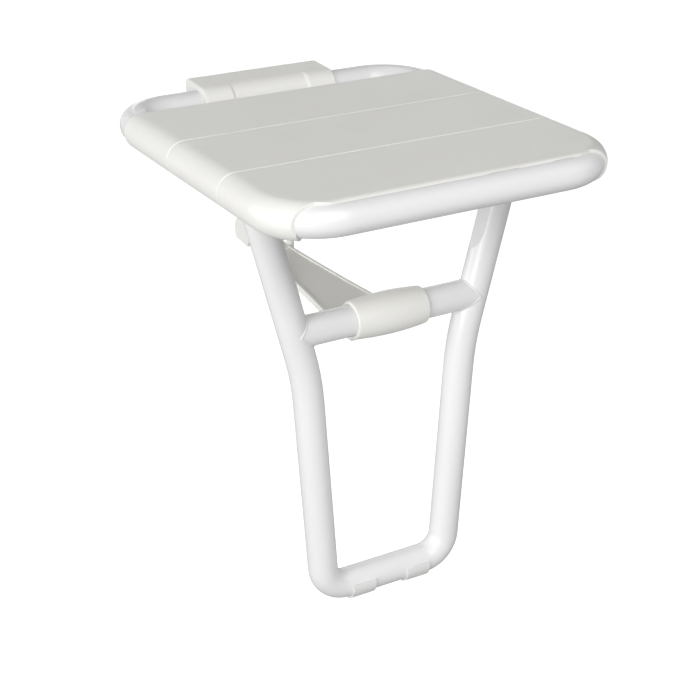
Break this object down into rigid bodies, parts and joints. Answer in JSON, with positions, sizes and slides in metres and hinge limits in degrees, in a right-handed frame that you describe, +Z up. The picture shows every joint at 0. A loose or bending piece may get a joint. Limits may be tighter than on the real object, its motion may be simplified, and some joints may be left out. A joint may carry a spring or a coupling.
{
  "type": "wall-mounted folding shower seat",
  "caption": "Folding shower seat for a wall: slatted seat on a tube ring, hinged bracket, drop-down tubular leg and a link arm that keeps the leg upright.",
  "frame": {"origin": "middle of the four main wall bolts, on the wall plane", "axes": "+X along the wall, +Y into the wall, +Z up; the room is on the -Y side"},
  "size_m": [0.3576, 0.4123, 0.4808],
  "materials": {
    "white_coat": "gloss powder coat",
    "seat_plastic": "smooth moulded, low gloss",
    "warm_plastic": "smooth moulded",
    "plain_steel": "satin stainless",
    "screw_steel": "turned stainless",
    "nylon": "natural nylon",
    "pale_rubber": "matt"
  },
  "bodies": {
    "root": {"wall_plate": "plain_steel", "hinge_housing": "warm_plastic", "housing_screws": "screw_steel", "hinge_keeper_left": "warm_plastic", "hinge_keeper_right": "warm_plastic", "keeper_screws": "screw_steel", "link_lug_left": "plain_steel", "link_lug_right": "plain_steel", "link_pin": "plain_steel"},
    "seat": {"seat_ring": "white_coat", "slat_rear": "seat_plastic", "slat_middle": "seat_plastic", "slat_front": "seat_plastic", "slat_screws": "screw_steel", "pivot_bracket_left": "white_coat", "pivot_bracket_right": "white_coat", "pivot_bolts": "screw_steel"},
    "leg": {"leg_hoop": "white_coat", "leg_crossbar": "white_coat", "leg_head_left": "white_coat", "leg_head_right": "white_coat", "leg_bushes": "nylon", "foot_pad_left": "pale_rubber", "foot_pad_right": "pale_rubber"},
    "link": {"link_arm": "warm_plastic", "sleeve_liners": "nylon", "link_bushes": "nylon", "knuckle_caps": "warm_plastic"}
  },
  "joints": [
    {"name": "seat_fold", "type": "hinge", "parent": "root", "child": "seat", "pos_m": [0, -0.033, 0.04455], "axis": [-1, 0, 0], "range_deg": [0, 80]},
    {"name": "leg_pivot", "type": "hinge", "parent": "seat", "child": "leg", "pos_m": [0, -0.2828, 0.03855], "axis": [1, 0, 0], "range_deg": [0, 80]},
    {"name": "link_pivot", "type": "hinge", "parent": "root", "child": "link", "pos_m": [0, -0.027, -0.1035], "axis": [-1, 0, 0], "range_deg": [0, 80]}
  ],
  "couplings": [
    {"joint": "leg_pivot", "follows": "seat_fold", "ratio": 1},
    {"joint": "link_pivot", "follows": "seat_fold", "ratio": 1}
  ]
}
